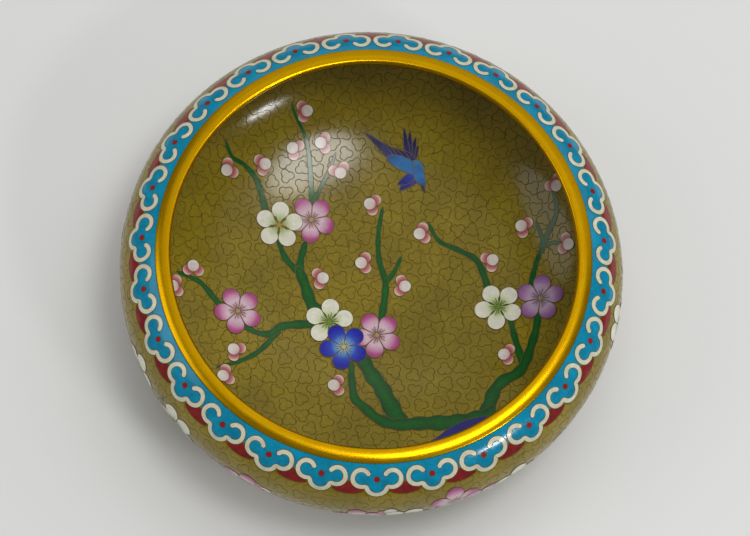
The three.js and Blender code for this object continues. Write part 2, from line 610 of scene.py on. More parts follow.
def card(name, base):
    """Smooth pale card, matt and even."""
    material, tree, place = fresh_material(name)
    cast = patches(tree, place, CARD_CLOUD, 3.0, 0.3, 0.7, 0.0, 0.03)
    tone = node(tree, "ShaderNodeMix", {0: cast, 6: (*base, 1), 7: (0.5, 0.5, 0.5, 1)}, 2, data_type="RGBA")
    surface(tree, {"Base Color": tone, "Roughness": 0.75})
    return material


def new_tree(name, inputs):
    """An empty Geometry Nodes tree with these named inputs, and their sockets."""
    tree = bpy.data.node_groups.new(name, "GeometryNodeTree")
    for way in ("INPUT", "OUTPUT"):
        tree.interface.new_socket("Geometry", in_out=way, socket_type="NodeSocketGeometry")
    for label, kind in inputs.items():
        tree.interface.new_socket(label, in_out="INPUT", socket_type="NodeSocket" + kind)
    return tree, node(tree, "NodeGroupInput", out=None).outputs


def end_tree(tree, geometry, material):
    """Ends a tree with real copies in one material."""
    real = node(tree, "GeometryNodeRealizeInstances", {"Geometry": geometry})
    done = node(tree, "GeometryNodeSetMaterial", {"Geometry": real, "Material": material})
    node(tree, "NodeGroupOutput", {"Geometry": done}, None)


def ring_of_copies():
    """A tree that repeats a mesh evenly about the axis."""
    tree, given = new_tree("ring_of_copies", {"Copies": "Int", "First Turn": "Float", "Finish": "Material"})
    spots = node(tree, "GeometryNodeMeshLine", {"Count": given["Copies"], "Offset": (0, 0, 0)})
    index = node(tree, "GeometryNodeInputIndex")
    step = node(tree, "ShaderNodeMath", {0: 2 * math.pi, 1: given["Copies"]}, operation="DIVIDE")
    turn = node(tree, "ShaderNodeMath", {0: index, 1: step, 2: given["First Turn"]}, operation="MULTIPLY_ADD")
    euler = node(tree, "ShaderNodeCombineXYZ", {"Z": turn})
    rotation = node(tree, "FunctionNodeEulerToRotation", {0: euler})
    spread = {"Points": spots, "Instance": given["Geometry"], "Rotation": rotation}
    end_tree(tree, node(tree, "GeometryNodeInstanceOnPoints", spread), given["Finish"])
    return tree


# Points round a wire cell, and how far the corners of a wire's three-cornered section lie from its middle,
# as a share of its side
CELL_POINTS = 24
WIRE_CORNER = 0.577


def wire_cells():
    """A tree that sets a three-lobed wire cell on each point and presses it on to a skin."""
    inputs = {
        "Skin": "Object",
        "Cell Radius": "Float",
        "Lobe Depth": "Float",
        "Wire Width": "Float",
        "Wire Rise": "Float",
        "Seed": "Int",
        "Finish": "Material",
    }
    tree, given = new_tree("wire_cells", inputs)

    # One cell: a circle that swells three times, with a wire along it
    size = {"Resolution": CELL_POINTS, "Radius": given["Cell Radius"]}
    circle = node(tree, "GeometryNodeCurvePrimitiveCircle", size, mode="RADIUS")
    swell = node(tree, "GeometryNodeSplineParameter", out="Factor")
    for operation, *values in (
        ("MULTIPLY", 3 * math.pi),
        ("COSINE",),
        ("ABSOLUTE",),
        ("MULTIPLY_ADD", 2.0, -1.0),
        ("MULTIPLY_ADD", given["Lobe Depth"], 1.0),
    ):
        swell = node(tree, "ShaderNodeMath", dict(enumerate((swell, *values))), operation=operation)
    here = node(tree, "GeometryNodeInputPosition")
    lobed = node(tree, "ShaderNodeVectorMath", {0: here, "Scale": swell}, operation="SCALE")
    outline = node(tree, "GeometryNodeSetPosition", {"Geometry": circle, "Position": lobed})
    half = node(tree, "ShaderNodeMath", {0: given["Wire Width"], 1: WIRE_CORNER}, operation="MULTIPLY")
    section = node(tree, "GeometryNodeCurvePrimitiveCircle", {"Resolution": 3, "Radius": half}, mode="RADIUS")
    cell = node(tree, "GeometryNodeCurveToMesh", {"Curve": outline, "Profile Curve": section})
    height = node(tree, "ShaderNodeSeparateXYZ", {"Vector": here}, "Z")
    rise = {"Geometry": cell, "Name": "rise", "Value": height}
    cell = node(tree, "GeometryNodeStoreNamedAttribute", rise, data_type="FLOAT", domain="POINT")

    # One on each point, square to the skin and turned at random
    skin = node(tree, "GeometryNodeObjectInfo", {"Object": given["Skin"]}, "Geometry")
    normal = node(tree, "GeometryNodeInputNormal")
    nearby = {"Mesh": skin, "Value": normal, "Sample Position": here}
    facing = node(tree, "GeometryNodeSampleNearestSurface", nearby, "Value", data_type="FLOAT_VECTOR")
    upright = node(tree, "FunctionNodeAlignRotationToVector", {"Vector": facing}, axis="Z")
    chance = {"Max": 2 * math.pi, "Seed": given["Seed"]}
    spin = node(tree, "FunctionNodeRandomValue", chance, "Value", data_type="FLOAT")
    about = node(tree, "FunctionNodeAxisAngleToRotation", {"Axis": (0, 0, 1), "Angle": spin})
    both = {"Rotation": upright, "Rotate By": about}
    rotation = node(tree, "FunctionNodeRotateRotation", both, rotation_space="LOCAL")
    spread = {"Points": given["Geometry"], "Instance": cell, "Rotation": rotation}
    copies = node(tree, "GeometryNodeInstanceOnPoints", spread)
    real = node(tree, "GeometryNodeRealizeInstances", {"Geometry": copies})

    # Each point goes to the skin's nearest one, lifted by its share of the rise
    nearest = node(tree, "GeometryNodeProximity", {0: skin}, "Position", target_element="FACES")
    kept = node(tree, "GeometryNodeInputNamedAttribute", {"Name": "rise"}, data_type="FLOAT")
    slope = node(tree, "ShaderNodeMath", {0: given["Wire Rise"], 1: half}, operation="DIVIDE")
    lift = node(tree, "ShaderNodeMath", {0: kept, 1: slope}, operation="MULTIPLY")
    raised = node(tree, "ShaderNodeVectorMath", {0: facing, "Scale": lift}, operation="SCALE")
    pressed = node(tree, "ShaderNodeVectorMath", {0: nearest, 1: raised}, operation="ADD")
    laid = node(tree, "GeometryNodeSetPosition", {"Geometry": real, "Position": pressed})
    smooth = node(tree, "GeometryNodeSetShadeSmooth", {"Geometry": laid})
    clean = node(tree, "GeometryNodeRemoveAttribute", {"Geometry": smooth, "Name": "rise"})
    end_tree(tree, clean, given["Finish"])
    return tree


def grown(name, source, tree, values):
    """Runs a tree on a mesh and gives the result as a plain mesh."""
    maker = bpy.data.objects.new(name + "_maker", source)
    bpy.context.scene.collection.objects.link(maker)
    modifier = maker.modifiers.new("Tree", "NODES")
    modifier.node_group = tree
    for item in tree.interface.items_tree:
        if item.name in values:
            modifier[item.identifier] = values[item.name]
    bpy.context.view_layer.update()
    made = bpy.data.meshes.new_from_object(maker.evaluated_get(bpy.context.evaluated_depsgraph_get()))
    bpy.data.objects.remove(maker)
    made.name = name
    return made


def set_by_eye(skin, low, high, pitch, seed):
    """Points on a skin between two arcs, about a pitch apart and in no rows, as arcs and turns.

    They start anywhere, as many as a triangle grid of that pitch has, and then push their neighbours away."""
    chance = np.random.RandomState(seed)
    arcs = np.linspace(low, high, 400)
    girth = 2 * math.pi * skin.at(arcs)[0]
    area = np.concatenate([[0], np.cumsum((girth[1:] + girth[:-1]) / 2 * np.diff(arcs))])
    count = int(area[-1] / (pitch**2 * math.sqrt(0.75)))
    arc = np.interp(chance.rand(count) * area[-1], area, arcs)
    turn = chance.rand(count) * 2 * math.pi
    reach, ahead_by = pitch * 1.35, 0.5
    for _ in range(60):
        spots = (skin.lay(arc, turn, 0.0) / MM).astype(np.float32)
        radius, height = skin.at(arc)
        ahead = skin.at(arc + ahead_by)
        slope = np.stack([ahead[0] - radius, ahead[1] - height], -1) / ahead_by
        gap = spots[:, None] - spots[None]
        distance = np.sqrt((gap**2).sum(-1)) + 1e-3
        push = np.clip(1 - distance / reach, 0, None)
        np.fill_diagonal(push, 0)
        move = ((push / distance)[..., None] * gap).sum(1) * pitch * 0.35
        outward = move[:, 0] * np.cos(turn) + move[:, 1] * np.sin(turn)
        arc = np.clip(arc + outward * slope[:, 0] + move[:, 2] * slope[:, 1], low, high)
        turn = turn + (move[:, 1] * np.cos(turn) - move[:, 0] * np.sin(turn)) / np.maximum(radius, 1.0)
    return arc, turn


# Lifts of the layers over the polished face, in millimetres
WIRE_RISE = 0.07
BRANCH_LIFT = 0.08
MOTIF_LIFT = 0.14
LAYER = 0.008

# The collar's lifts likewise, and its places in millimetres of arc above the belly line
FILLET_LIFT = 0.10
FILLET_WIRE_LIFT = 0.11
FIELD_LIFT = 0.13
BAND_LIFT = 0.15
BAND_WIRE_LIFT = 0.165
COLLAR_LEVEL = 24.6
COLLAR_FOOT = 15.5


class BOWL_OT_body(bpy.types.Operator):
    """Turn the vessel: mustard enamel inside and out, turquoise at the collar and under the base"""

    bl_idname = "bowl.body"
    bl_label = "Enamelled body"

    def execute(self, context):
        size, tone, wall = lengths(), colours(), wall_faces()
        lip_radius = wall.mouth_radius + size.mouth_ring_width
        lip = wall.outer.arc_at(lip_radius, size.height)
        foot = wall.outer.arc_at(FOOT_BOX[1].x - size.foot_thickness / 2)
        collar = wall.belly + COLLAR_LEVEL
        mustard, turquoise, edge = range(3)
        outer, finish = [], []
        for start, end, step, tint in (
            (0, foot, 2.4, turquoise),
            (foot, collar, 1.5, mustard),
            (collar, lip, 1.5, turquoise),
        ):
            steps = int((end - start) / step)
            outer += list(np.linspace(start, end, steps, endpoint=False))
            finish += [tint] * steps
        arc = np.array([*outer, lip])
        inner_arc = (arc / lip * np.interp(lip, wall.outer.arc, wall.inner.arc))[::-1]
        profile = np.concatenate([np.stack(wall.outer.at(arc), -1), np.stack(wall.inner.at(inner_arc), -1)])
        profile[0, 0] = profile[-1, 0] = 0
        finish += [edge] + [mustard] * (len(arc) - 1)
        data = turned("bowl_body_enamel", profile, counts().sides, finish)
        materials = [
            enamel("mustard_enamel", tone.ground, mottle=0.2, cloud=22.0),
            enamel("turquoise_enamel", tone.turquoise, mottle=0.2),
            fired_wire("copper_edge", tone.motif_wire),
        ]
        piece("bowl_body_enamel", data, materials, "enamel_ground", "bowl_body")
        return {"FINISHED"}


class BOWL_OT_rings(bpy.types.Operator):
    """Turn the gilt mouth ring and the gilt foot ring"""

    bl_idname = "bowl.rings"
    bl_label = "Gilt rings"

    def execute(self, context):
        size, wall = lengths(), wall_faces()
        gilding = fire_gilding("fire_gilding", colours().gilding)
        for ring, profile in (("mouth_ring", self.mouth(size, wall)), ("foot_ring", self.foot(size, wall))):
            data = turned(ring + "_gilt", profile, counts().sides)
            piece(ring + "_gilt", data, [gilding], "gilding", ring)
        return {"FINISHED"}

    def mouth(self, size, wall):
        """A crowned band in line with the wall, with a rounded outer edge and a round nose at the opening."""
        half = size.mouth_ring_thickness / 2
        start = wall.outer.arc_at(wall.mouth_radius + size.mouth_ring_width - size.seam, size.height)
        end = wall.outer.arc_at(wall.mouth_radius + half, size.height)
        edge = size.mouth_ring_edge * (1 - np.cos(np.linspace(0, math.pi / 2, 8)))
        run = np.concatenate([edge, np.linspace(size.mouth_ring_edge, end - start, 26)[1:]])
        swell = np.sqrt(np.clip(1 - np.clip(1 - run / size.mouth_ring_edge, 0, 1) ** 2, 0, 1)) * half
        crown = size.mouth_ring_crown * np.sin(math.pi * run / run[-1])
        middle = -size.wall / 2
        upper = np.stack(wall.outer.at(start + run, middle + swell + crown), -1)
        lower = np.stack(wall.outer.at(start + run[1:], middle - swell[1:]), -1)[::-1]
        centre = np.array(wall.outer.at(end, middle))
        outward = np.array(wall.outer.at(end, middle + 1)) - centre
        first = math.atan2(outward[1], outward[0])
        angle = first + np.linspace(0, math.pi, 16)[1:-1]
        nose = centre + half * np.stack([np.cos(angle), np.sin(angle)], -1)
        return np.concatenate([upper, nose, lower])

    def foot(self, size, wall):
        """A band at the table, a hollow waist above it, and a top edge that meets the underside."""
        outside = FOOT_BOX[1].x
        within = outside - size.foot_thickness
        top, top_within = (
            np.array(wall.outer.at(wall.outer.arc_at(radius), size.seam)) for radius in (outside, within)
        )
        corners = [(within, 0), (outside, 0), (outside, size.foot_bead)]
        corners += [(outside - size.foot_waist, (size.foot_bead + top[1]) / 2), top, top_within]
        return rounded([np.array(corner, float) for corner in corners], size.foot_rounding)


class BOWL_OT_ground(bpy.types.Operator):
    """Set the three-lobed wire cells of the ground, inside and out"""

    bl_idname = "bowl.ground"
    bl_label = "Ground cells"

    def execute(self, context):
        size, wall = lengths(), wall_faces()
        wire = fired_wire("ground_wire", colours().cell_wire)
        lip = wall.outer.arc_at(wall.mouth_radius + size.mouth_ring_width, size.height)
        inner_lip = np.interp(lip, wall.outer.arc, wall.inner.arc)
        foot = wall.outer.arc_at(FOOT_BOX[1].x)
        margin = 1.0
        outer_low, outer_high = foot + size.cell_radius + margin, wall.belly + COLLAR_FOOT + margin
        places = {
            "inner_ground_wires": (wall.inner, margin, inner_lip - size.cell_radius),
            "outer_ground_wires": (wall.outer, outer_low, outer_high),
        }
        cells = wire_cells()
        for i, (name, (skin, low, high)) in enumerate(places.items()):
            arc, turn = set_by_eye(skin, low, high, size.cell_pitch, counts().seed + i)
            points = bpy.data.meshes.new(name + "_points")
            points.from_pydata(skin.lay(arc, turn, 0.0).tolist(), [], [])
            values = {
                "Skin": bpy.data.objects["bowl_body_enamel"],
                "Cell Radius": size.cell_radius * MM,
                "Lobe Depth": counts().lobe_depth,
                "Wire Width": size.cell_wire * MM,
                "Wire Rise": WIRE_RISE * MM,
                "Seed": counts().seed + i,
                "Finish": wire,
            }
            piece(name, grown(name, points, cells, values), [wire], "cell_wire")
        return {"FINISHED"}


def head_path():
    """The middle line of a collar head's white band, from its left curl round to its right one."""
    wide, deep = 0.955, 0.93
    start, end, steps = -118, 160, 34
    lobe = arc_path((0, -2.9), 5.1, -90, -8, 12)
    reach = np.interp(np.linspace(start, end, steps), (60, end), (4.75, 3.9))
    curl = arc_path((0, 0), 1.0, start, end, steps) * reach[:, None] + (7.6, 1.2)
    right = np.concatenate([lobe, curl])
    path = np.concatenate([right[::-1] * (-1, 1), right[1:]])
    for _ in range(2):
        path[1:-1] = (path[:-2] + 2 * path[1:-1] + path[2:]) / 4
    return path * (wide, deep)


def band_half(path, half):
    """Half widths along a band whose two ends are round."""
    run = np.concatenate([[0], np.cumsum(np.hypot(*np.diff(path, axis=0).T))])
    from_end = np.minimum(run, run[-1] - run)
    return half * np.sqrt(np.clip(1 - np.clip(1 - from_end / half, 0, 1) ** 2, 0.02, 1))


class BOWL_OT_collar(bpy.types.Operator):
    """Lay the collar of cloud heads round the shoulder"""

    bl_idname = "bowl.collar"
    bl_label = "Collar"

    def execute(self, context):
        size, tone = lengths(), colours()
        chart = BandChart(wall_faces())
        place = chart.spot(0, COLLAR_LEVEL)
        path = head_path()
        half = band_half(path, size.band_width / 2)
        layers = {name: Inlay(chart) for name in ("fields", "fillets", "bands", "dots", "wires")}
        fillet_outline = self.fillet()
        between = chart.spot(math.pi * chart.radius / counts().heads, COLLAR_LEVEL)
        layers["fillets"].slab(plate(fillet_outline, 2.2), FILLET_LIFT, place=between)
        layers["wires"].wire(fillet_outline, FILLET_WIRE_LIFT, closed=True, place=between)
        layers["fields"].slab(plate(path[::2], 2.0), FIELD_LIFT, place=place)
        band = ribbon(path, half, 3)
        layers["bands"].slab(band, BAND_LIFT, place=place)
        layers["wires"].wire(band.points[band.rims[0]], BAND_WIRE_LIFT, closed=True, place=place)
        dot = arc_path((0, 0.8), 1.45, 0, 342, 20)
        layers["dots"].slab(plate(dot, 0.8), BAND_LIFT, place=place)
        layers["wires"].wire(dot, BAND_WIRE_LIFT, closed=True, place=place)
        turquoise = enamel("collar_turquoise_enamel", tone.turquoise, mottle=0.22, cloud=5.0)
        finishes = {
            "fields": (turquoise, "enamel_turquoise"),
            "fillets": (enamel("maroon_enamel", tone.maroon, mottle=0.25, cloud=5.0), "enamel_red"),
            "bands": (enamel("cream_enamel", tone.cream, mottle=0.14, cloud=6.0), "enamel_white"),
            "dots": (enamel("red_enamel", tone.red), "enamel_red"),
            "wires": (fired_wire("collar_wire", tone.motif_wire), "cell_wire"),
        }
        ring = ring_of_copies()
        for name, layer in layers.items():
            finish, slot = finishes[name]
            values = {"Copies": counts().heads, "First Turn": counts().first_head, "Finish": finish}
            data = grown("collar_" + name, layer.mesh("collar_one_" + name), ring, values)
            piece("collar_" + name, data, [finish], slot)
        return {"FINISHED"}

    def fillet(self):
        """The outline between two heads, tucked under both, with its lower edge bowed down."""
        lower = arc_path((0, 8.2), 15.8, -118, -62, 13)
        return np.concatenate([lower, [(6.6, -3.4), (2.4, -2.2), (0, -0.6), (-2.4, -2.2), (-6.6, -3.4)]])


# Branches of the picture inside, as seen from above: corners, width at the start and width at the end.
# A twig comes before the branch that it springs from, because each one covers the root of those before it.
INNER_BRANCHES = [
    ([(-52, 22), (-46, 12), (-38, 6)], 2.8, 4.0),
    ([(-37, 24), (-38, 12), (-37, 5)], 3.2, 4.4),
    ([(-39, 9), (-34, 0), (-28, -11), (-23, -15)], 5.0, 7.0),
    ([(-102, -9), (-94, -10), (-87, -12), (-77, -20), (-72, -22)], 1.8, 3.8),
    ([(-72, -56), (-60, -49), (-51, -41), (-43, -28)], 1.8, 3.2),
    ([(-63, -27), (-57, -31), (-48, -31), (-41, -25), (-24, -20.5)], 2.4, 5.2),
    ([(-90, 68), (-84, 60), (-76, 57), (-68, 50), (-60, 34)], 1.6, 4.0),
    ([(-58, 96), (-54, 89), (-46, 78), (-41, 62), (-36.5, 42)], 1.5, 3.0),
    ([(-29, 74), (-31, 64), (-36, 46)], 1.3, 2.4),
    ([(14.5, 24), (12, 15), (8.5, 8)], 1.7, 3.0),
    ([(0.5, 49), (0.5, 34), (3, 20), (8.5, 6), (9, -16)], 2.0, 4.2),
    ([(26, 44), (33, 35), (45, 31), (55, 26), (63, 11)], 1.8, 4.0),
    ([(100, 38), (95, 40), (89, 38)], 1.6, 2.6),
    ([(88, 74), (94, 58), (90, 44), (88, 34)], 1.6, 3.2),
    ([(83, 51), (88, 40), (86, 28), (84, 12)], 1.6, 3.4),
    ([(75.5, -1), (78, -9), (82, -19), (86.5, -30)], 2.6, 4.2),
    (
        [(90.5, 1), (90.5, -8), (89, -18), (87, -28), (83.5, -34), (77.5, -38), (73.2, -44), (71.5, -52),
         (70, -61)],
        3.4,
        8.0,
    ),
    ([(1, -34), (8.3, -43.6), (14.3, -50), (18, -55.6), (22.2, -61.8), (26.5, -68.5)], 7.0, 9.6),
    (
        [(-3, -38), (-2, -45.3), (-0.4, -52.4), (2, -58.8), (7.6, -62.8), (13.3, -66.9), (20, -69.4),
         (27, -69.4), (36, -67.6), (46, -66), (56, -64.5), (66, -62), (76, -58)],
        2.8,
        10.6,
    ),
]

# Blossoms inside: place, kind, and the angle of the first petal. The later ones lie over the earlier ones.
INNER_BLOSSOMS = [
    ((-36, 35.6), "pink", 132),
    ((-52.4, 29.4), "amber", 95),
    ((-17.8, -18.4), "white", 95),
    ((8.0, -21.6), "pink", -90),
    ((-8.3, -30.8), "blue", -90),
    ((-66, -22), "pink", -90),
    ((69, 2.6), "white", -90),
    ((90.6, 9), "mauve", 90),
]

# Buds inside: place and the angle that the pale ball faces.
INNER_BUDS = [
    ((-50, 92.6), 20), ((-36.4, 78), 190), ((-51, 71.4), 160), ((-25.6, 65), -60), ((-67, 59.6), 30),
    ((-84.4, 53.4), 225), ((-5, 49.4), 170), ((-4.6, 17), 190), ((17, 7.6), 0), ((23.6, 38), 200),
    ((61.4, 27), 40), ((77, 47.4), 160), ((101, 39.6), -10), ((91.4, 72), -45), ((77, -23.6), 180),
    ((-26.4, 4.4), 20), ((-93.4, -5), 100), ((-63.4, -44.4), 150), ((-66.4, -59), 210), ((-8.6, -52.6), 190),
    ((-101, -17), 200),
]

# Sprays outside. The branches are drawn once, from the spray's middle, and the sprays stand round the wall.
SPRAYS = 5
FIRST_SPRAY = math.radians(-138)
SPRAY_BRANCHES = [
    ([(-26, -4), (-29, -14), (-36, -26)], 1.6, 3.0),
    ([(4, 8), (1, -4), (-3, -16), (-4, -24)], 1.5, 3.2),
    ([(56, -34), (46, -31), (36, -26), (26, -20)], 1.5, 3.0),
    (
        [(66, -6), (54, -8), (42, -14), (26, -19), (8, -22), (-12, -27), (-34, -28), (-52, -35), (-76, -42)],
        1.8,
        7.0,
    ),
]
SPRAY_BUDS = [((-26, 1), 80), ((58, -38), -20), ((16, -31), -70), ((70, -2), 30), ((-46, -24), 110)]

# Blossoms outside: turn in degrees from +X with height above the belly line, and kind.
OUTER_BLOSSOMS = [
    ((-146, -2), "white"), ((-131, -1), "white"), ((-111, -6), "pink"), ((-84, -8), "pink"),
    ((-74, -9), "white"), ((-63, 1), "pink"), ((-57, -7), "pink"), ((-48, -6), "white"),
    ((-20, -16), "blue"), ((-5.5, 3), "white"), ((10, -12), "pink"), ((36, -14), "mauve"),
    ((60, -6), "white"), ((72, -10), "pink"), ((92, -14), "blue"), ((106, -8), "pink"),
    ((128, -8), "white"), ((140, -13), "amber"), ((160, -10), "pink"), ((178, -12), "mauve"),
]

# Colours along a petal from the blossom's heart to its tip, and the colours of the hearts
PETAL_FADES = {
    "white": [(0.0, "#5f8a2c"), (0.24, "#8fae5c"), (0.44, "#d6dcb4"), (0.62, "#e8e6d2"), (1.0, "#e6e3d0")],
    "amber": [(0.0, "#b9802c"), (0.16, "#8fa04a"), (0.36, "#c3cc98"), (0.58, "#e4e2cc"), (1.0, "#e6e3d2")],
    "pink": [
        (0.0, "#8a6a3a"), (0.18, "#b8808e"), (0.42, "#dfc4cc"),
        (0.64, "#d49cba"), (0.84, "#b44c84"), (1.0, "#a83e7c"),
    ],
    "mauve": [(0.0, "#6f5a4a"), (0.2, "#9a7f98"), (0.48, "#bfa4bf"), (0.72, "#a476a5"), (1.0, "#824888")],
    "blue": [
        (0.0, "#c3b878"), (0.18, "#b0c4c4"), (0.34, "#5a92cc"),
        (0.52, "#2444ba"), (0.8, "#1114a8"), (1.0, "#0e1092"),
    ],
}
HEART_SHADES = {
    "white": "#6c8f2a",
    "amber": "#c9862a",
    "pink": "#a9a05a",
    "mauve": "#8f8a58",
    "blue": "#c3b878",
}

# Colours of a branch from its middle line to its edges, and of a bud's ball and petals
BRANCH_SHADES = [(0, "#0a5e10"), (0.6, "#085410"), (1, "#064410")]
BALL_SHADES = [(0, "#c99a9c"), (0.3, "#dccdc4"), (1, "#e2ded2")]
ROSY_SHADES = [(0, "#b04858"), (0.4, "#b8525f"), (0.75, "#c98a84"), (1, "#dccbae")]

# A bud's plates: the angle from the way that it faces, how far out the plate stands, and its radius
BUD_BALL = (0, 1.6, 3.3)
BUD_PETALS = [(105, 3.0, 3.1), (-105, 3.0, 3.1)]

# Where the petals' rosy colour starts from the middle of the ball, and how far it fades from there
ROSY_START = 2.6
ROSY_REACH = 3.6


def petal_half(kind, long):
    """How wide a petal is along its length: a disc at the end of a short neck."""
    radius, neck = (0.37, 0.13) if kind in ("white", "amber") else (0.365, 0.21)

    def half(share):
        disc = np.sqrt(np.clip(radius**2 - (share - 1 + radius) ** 2, 0, None))
        return long * np.maximum(disc, np.minimum(0.7 * share, neck) * (share < 1 - radius))

    return half


class Picture:
    """The pieces of one picture: painted enamel, branches and the wires round them."""

    def __init__(self, chart):
        self.chart = chart
        self.branches, self.petals, self.wires = Inlay(chart), Inlay(chart), Inlay(chart)
        self.lift = BRANCH_LIFT

    def next_layer(self):
        """Raises the next motif a little over the last one."""
        self.lift += LAYER
        return self.lift

    def blade(self, patch, place, shade, lift, wire_width=None):
        """Lays one plate with its wire."""
        self.petals.slab(patch, lift, shade, place)
        self.wires.wire(patch.points[patch.rims[0]], lift + LAYER / 2, True, place, wire_width)

    def branch(self, corners, start, end, shift=0.0):
        """A tapering branch along its corners, dark at its edges, with a wire down each side."""
        path = smooth_path(corners) + (shift, 0)
        share = np.linspace(0, 1, len(path))
        knots = 1 + 0.10 * np.sin(share * len(path) * 0.9 + start * 7)
        half = (start + (end - start) * share) / 2 * knots
        half[:2] *= (0.3, 0.75)  # a pointed end
        strip = ribbon(path, half, 5)
        lift = self.next_layer()
        self.branches.slab(strip, lift, fade(BRANCH_SHADES, np.abs(strip.across)))
        self.wires.wire(strip.points[strip.rims[0]], lift + LAYER / 2, True)

    def blossom(self, x, y, kind, first):
        """Five petals round a heart, each with its wire, and stamens of fine wire."""
        place, long = self.chart.spot(x, y), lengths().blossom / 2
        lift = self.next_layer()
        stamens = []
        for i in range(5):
            angle = first + 72 * i
            patch = leaf(long, petal_half(kind, long), 16, 7)
            shade = fade(PETAL_FADES[kind], patch.along + 0.10 * np.abs(patch.across) ** 2)
            patch = patch._replace(points=turn_to(patch.points, angle))
            self.blade(patch, place, shade, lift)
            for side, reach in ((-10, 0.4), (10, 0.33)):
                line = np.array([(0, 0.9), (0, long * reach)])
                stamens.append(turn_to(line, angle + side + 36 * (kind == "amber")))
        lift = self.next_layer()
        for line in stamens:
            self.wires.slab(ribbon(smooth_path(line, 1.0), 0.19), lift, place=place)
        heart = plate(arc_path((0, 0), 1.15, 0, 340, 14), 0.9)
        self.petals.slab(heart, lift + LAYER / 2, linear(HEART_SHADES[kind]), place)

    def bud(self, x, y, facing):
        """A pale ball over two petals, which are rosy beside it and pale at their rims."""
        place, base = self.chart.spot(x, y), self.lift
        ball = turn_to(np.array([(0, BUD_BALL[1])]), facing)[0]
        for angle, out, radius in (*BUD_PETALS, BUD_BALL):
            lift = self.next_layer()
            patch = leaf(2 * radius, lambda share: 2 * radius * np.sqrt(share * (1 - share)), 10, 7)
            moved = turn_to(patch.points + (0, out - radius), facing + angle)
            away = np.hypot(*(moved - ball).T) - ROSY_START
            shade = fade(ROSY_SHADES, away / ROSY_REACH) if angle else fade(BALL_SHADES, patch.along)
            self.blade(patch._replace(points=moved), place, shade, lift)
        self.lift = base

    def finish(self, prefix, materials):
        """Makes the picture's pieces."""
        for part, slot in (("branches", "enamel_green"), ("petals", "enamel_pink"), ("wires", "cell_wire")):
            name = prefix + "_" + part
            piece(name, getattr(self, part).mesh(name), [materials[part]], slot)


def picture_materials(prefix):
    """The finishes of a picture."""
    return {
        "branches": enamel(prefix + "_branch_enamel", mottle=0.22, cloud=7.0),
        "petals": enamel(prefix + "_painted_enamel", mottle=0.1, cloud=4.0),
        "wires": fired_wire(prefix + "_motif_wire", colours().motif_wire),
    }


def feather(picture, place, root, tip, half, stops, bend):
    """A blade from root to tip in a motif's own millimetres, bowed to the left by bend."""
    way = np.subtract(tip, root)
    long = np.hypot(*way)
    patch = leaf(long, lambda share: half * np.sin(math.pi * share**0.8) ** 0.7, 8, 5)
    bowed = patch.points + np.stack([-bend * np.sin(math.pi * patch.along), 0 * patch.along], -1)
    points = turn_to(bowed, math.degrees(math.atan2(way[1], way[0]))) + root
    picture.blade(patch._replace(points=points), place, fade(stops, patch.along), picture.next_layer(), 0.34)


def songbird(picture, x, y):
    """A small blue bird on the wing, drawn from its middle out of feathers.

    Each plume has its root, its tip, half its width, its colours and its bow."""
    place = picture.chart.spot(x, y)
    dark = [(0, "#27478c"), (0.35, "#2c2a66"), (1, "#241f4a")]
    royal = [(0, "#2b50b4"), (0.4, "#222a96"), (1, "#1b1866")]
    body = [(0, "#264a92"), (0.35, "#2a78b8"), (0.7, "#2c74b4"), (1, "#28559f")]
    head = [(0, "#2a66ae"), (0.5, "#2c79b8"), (1, "#263c86")]
    back = [(0, "#2f86c0"), (1, "#2a62aa")]
    beak = [(0, "#3a3148"), (1, "#2a2436")]
    far_wing = [
        ((3, 3), (4.5, 13)), ((2.5, 3.5), (2.5, 17.5)), ((2, 3.5), (-1.2, 20.4)), ((1.5, 3), (-4.6, 21.4)),
    ]
    near_wing = [
        ((5, 2), (-4, 9.2)), ((2, 2.5), (-9, 9.8)), ((-1, 2.5), (-13.5, 10.8)), ((-4, 2.5), (-18.5, 13)),
    ]
    plumes = [(*ends, 1.5, dark, 0.5) for ends in far_wing]
    plumes += [(*ends, 1.7, dark, -0.7) for ends in near_wing]
    plumes += [((-5.5, 1.0), (-25.6, 15.4), 2.0, dark, -1.2)]
    plumes += [((4.6, -1.5), tip, 2.4, royal, 0.9) for tip in ((1.6, -11.0), (-2.2, -12.8), (-3.6, -9.6))]
    plumes += [
        ((-11.5, 4.4), (10.5, -3.0), 3.7, body, 0.8),
        ((3.0, 4.6), (9.5, -2.6), 2.6, back, 0.4),
        ((5.4, 2.4), (11.2, -9.4), 2.9, head, -0.8),
        ((9.2, -7.4), (11.6, -12.0), 0.9, beak, 0.0),
    ]
    for plume in plumes:
        feather(picture, place, *plume)
    eye = plate(arc_path((9.2, -5.0), 0.34, 0, 330, 12), 0.6)
    picture.petals.slab(eye, picture.next_layer(), linear("#14204a"), place)


